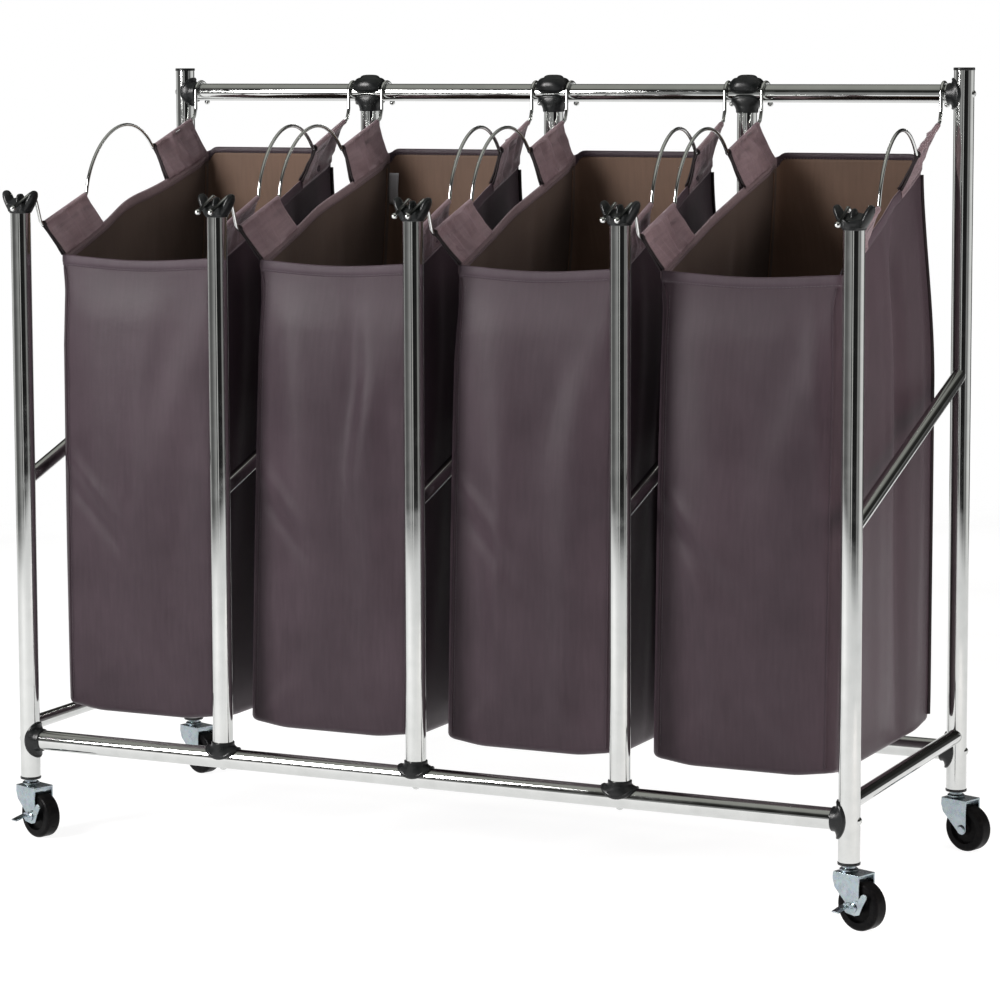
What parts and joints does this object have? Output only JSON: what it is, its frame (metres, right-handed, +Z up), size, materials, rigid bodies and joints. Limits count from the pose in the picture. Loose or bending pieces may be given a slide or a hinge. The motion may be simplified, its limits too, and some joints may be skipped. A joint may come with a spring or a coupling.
{
  "type": "laundry sorter on wheels",
  "caption": "Rolling laundry sorter: a chromed tube rack on swivel casters with lift-off fabric bags, each hung by two bent wire hangers from front hook caps and a rear rail.",
  "frame": {"origin": "on the floor, midway between the four end posts", "axes": "+X along the rack to the right as seen from the front, +Y from the front to the back, +Z up"},
  "size_m": [1.0233, 0.4115, 0.85],
  "materials": {
    "chrome_tube": "bright chrome-plated steel tube",
    "chrome_screw": "chrome-plated domed screw head",
    "chrome_wire": "chrome-plated bent steel wire",
    "black_plastic": "moulded black plastic, satin",
    "zinc_steel": "bright zinc-plated pressed steel",
    "wheel_black": "hard black wheel, satin",
    "bag_fabric": "dark mauve-brown woven polyester, brown coated inside"
  },
  "bodies": {
    "rack": {"front_post_1": "chrome_tube", "front_post_2": "chrome_tube", "front_post_3": "chrome_tube", "front_post_4": "chrome_tube", "front_post_5": "chrome_tube", "rear_post_1": "chrome_tube", "rear_post_2": "chrome_tube", "rear_post_3": "chrome_tube", "rear_post_4": "chrome_tube", "rear_post_5": "chrome_tube", "brace_1": "chrome_tube", "brace_2": "chrome_tube", "brace_3": "chrome_tube", "brace_4": "chrome_tube", "brace_5": "chrome_tube", "side_rail_left": "chrome_tube", "side_rail_right": "chrome_tube", "front_bottom_rail": "chrome_tube", "rear_bottom_rail": "chrome_tube", "top_rail": "chrome_tube", "rail_end_cups": "black_plastic", "bottom_saddles": "black_plastic", "top_saddles": "black_plastic", "hook_caps": "black_plastic", "rear_post_caps": "black_plastic", "caster_sockets": "black_plastic", "assembly_screws": "chrome_screw", "caster_stems": "zinc_steel"},
    "caster_1": {"caster_fork_1": "zinc_steel", "caster_axle_1": "zinc_steel"},
    "wheel_1": {"caster_wheel_1": "wheel_black"},
    "brake_1": {"brake_lever_1": "zinc_steel"},
    "caster_2": {"caster_fork_2": "zinc_steel", "caster_axle_2": "zinc_steel"},
    "wheel_2": {"caster_wheel_2": "wheel_black"},
    "brake_2": {"brake_lever_2": "zinc_steel"},
    "caster_3": {"caster_fork_3": "zinc_steel", "caster_axle_3": "zinc_steel"},
    "wheel_3": {"caster_wheel_3": "wheel_black"},
    "caster_4": {"caster_fork_4": "zinc_steel", "caster_axle_4": "zinc_steel"},
    "wheel_4": {"caster_wheel_4": "wheel_black"},
    "bag_1": {"bag_1": "bag_fabric"},
    "hanger_1_left": {"hanger_1_left": "chrome_wire"},
    "hanger_1_right": {"hanger_1_right": "chrome_wire"},
    "bag_2": {"bag_2": "bag_fabric"},
    "hanger_2_left": {"hanger_2_left": "chrome_wire"},
    "hanger_2_right": {"hanger_2_right": "chrome_wire"},
    "bag_3": {"bag_3": "bag_fabric"},
    "hanger_3_left": {"hanger_3_left": "chrome_wire"},
    "hanger_3_right": {"hanger_3_right": "chrome_wire"},
    "bag_4": {"bag_4": "bag_fabric"},
    "hanger_4_left": {"hanger_4_left": "chrome_wire"},
    "hanger_4_right": {"hanger_4_right": "chrome_wire"}
  },
  "joints": [
    {"name": "caster_1_swivel", "type": "hinge", "parent": "rack", "child": "caster_1", "pos_m": [-0.48, -0.18, 0.0562], "axis": [0, 0, 1], "continuous": true},
    {"name": "wheel_1_spin", "type": "hinge", "parent": "caster_1", "child": "wheel_1", "pos_m": [-0.46403, -0.18581, 0.025], "axis": [0.342, 0.9397, 0], "continuous": true},
    {"name": "brake_1_press", "type": "hinge", "parent": "caster_1", "child": "brake_1", "pos_m": [-0.46881, -0.19897, 0.025], "axis": [-0.342, -0.9397, 0], "range_deg": [0, 25]},
    {"name": "caster_2_swivel", "type": "hinge", "parent": "rack", "child": "caster_2", "pos_m": [0.48, -0.18, 0.0562], "axis": [0, 0, 1], "continuous": true},
    {"name": "wheel_2_spin", "type": "hinge", "parent": "caster_2", "child": "wheel_2", "pos_m": [0.49597, -0.18581, 0.025], "axis": [0.342, 0.9397, 0], "continuous": true},
    {"name": "brake_2_press", "type": "hinge", "parent": "caster_2", "child": "brake_2", "pos_m": [0.49119, -0.19897, 0.025], "axis": [-0.342, -0.9397, 0], "range_deg": [0, 25]},
    {"name": "caster_3_swivel", "type": "hinge", "parent": "rack", "child": "caster_3", "pos_m": [0.48, 0.18, 0.0562], "axis": [0, 0, 1], "continuous": true},
    {"name": "wheel_3_spin", "type": "hinge", "parent": "caster_3", "child": "wheel_3", "pos_m": [0.49597, 0.17419, 0.025], "axis": [0.342, 0.9397, 0], "continuous": true},
    {"name": "caster_4_swivel", "type": "hinge", "parent": "rack", "child": "caster_4", "pos_m": [-0.48, 0.18, 0.0562], "axis": [0, 0, 1], "continuous": true},
    {"name": "wheel_4_spin", "type": "hinge", "parent": "caster_4", "child": "wheel_4", "pos_m": [-0.46403, 0.17419, 0.025], "axis": [0.342, 0.9397, 0], "continuous": true},
    {"name": "bag_1_lift", "type": "slide", "parent": "rack", "child": "bag_1", "axis": [0, 0, 1], "range_m": [0, 0.73]},
    {"name": "hanger_1_left_turn", "type": "hinge", "parent": "bag_1", "child": "hanger_1_left", "pos_m": [-0.47023, -0.151, 0.68], "axis": [0.0348, 0.9422, 0.3333], "range_deg": [0, 34]},
    {"name": "hanger_1_right_turn", "type": "hinge", "parent": "bag_1", "child": "hanger_1_right", "pos_m": [-0.24277, -0.151, 0.68], "axis": [0.0348, -0.9422, -0.3333], "range_deg": [0, 34]},
    {"name": "bag_2_lift", "type": "slide", "parent": "rack", "child": "bag_2", "axis": [0, 0, 1], "range_m": [0, 0.73]},
    {"name": "hanger_2_left_turn", "type": "hinge", "parent": "bag_2", "child": "hanger_2_left", "pos_m": [-0.22323, -0.151, 0.68], "axis": [0.0348, 0.9422, 0.3333], "range_deg": [0, 34]},
    {"name": "hanger_2_right_turn", "type": "hinge", "parent": "bag_2", "child": "hanger_2_right", "pos_m": [-0.00977, -0.151, 0.68], "axis": [0.0348, -0.9422, -0.3333], "range_deg": [0, 34]},
    {"name": "bag_3_lift", "type": "slide", "parent": "rack", "child": "bag_3", "axis": [0, 0, 1], "range_m": [0, 0.73]},
    {"name": "hanger_3_left_turn", "type": "hinge", "parent": "bag_3", "child": "hanger_3_left", "pos_m": [0.00977, -0.151, 0.68], "axis": [0.0348, 0.9422, 0.3333], "range_deg": [0, 34]},
    {"name": "hanger_3_right_turn", "type": "hinge", "parent": "bag_3", "child": "hanger_3_right", "pos_m": [0.22323, -0.151, 0.68], "axis": [0.0348, -0.9422, -0.3333], "range_deg": [0, 34]},
    {"name": "bag_4_lift", "type": "slide", "parent": "rack", "child": "bag_4", "axis": [0, 0, 1], "range_m": [0, 0.73]},
    {"name": "hanger_4_left_turn", "type": "hinge", "parent": "bag_4", "child": "hanger_4_left", "pos_m": [0.24277, -0.151, 0.68], "axis": [0.0348, 0.9422, 0.3333], "range_deg": [0, 34]},
    {"name": "hanger_4_right_turn", "type": "hinge", "parent": "bag_4", "child": "hanger_4_right", "pos_m": [0.47023, -0.151, 0.68], "axis": [0.0348, -0.9422, -0.3333], "range_deg": [0, 34]}
  ],
  "couplings": [
    {"joint": "hanger_1_left_turn", "follows": "bag_1_lift", "rad_per_m": 0.8},
    {"joint": "hanger_1_right_turn", "follows": "bag_1_lift", "rad_per_m": 0.8},
    {"joint": "hanger_2_left_turn", "follows": "bag_2_lift", "rad_per_m": 0.8},
    {"joint": "hanger_2_right_turn", "follows": "bag_2_lift", "rad_per_m": 0.8},
    {"joint": "hanger_3_left_turn", "follows": "bag_3_lift", "rad_per_m": 0.8},
    {"joint": "hanger_3_right_turn", "follows": "bag_3_lift", "rad_per_m": 0.8},
    {"joint": "hanger_4_left_turn", "follows": "bag_4_lift", "rad_per_m": 0.8},
    {"joint": "hanger_4_right_turn", "follows": "bag_4_lift", "rad_per_m": 0.8}
  ]
}
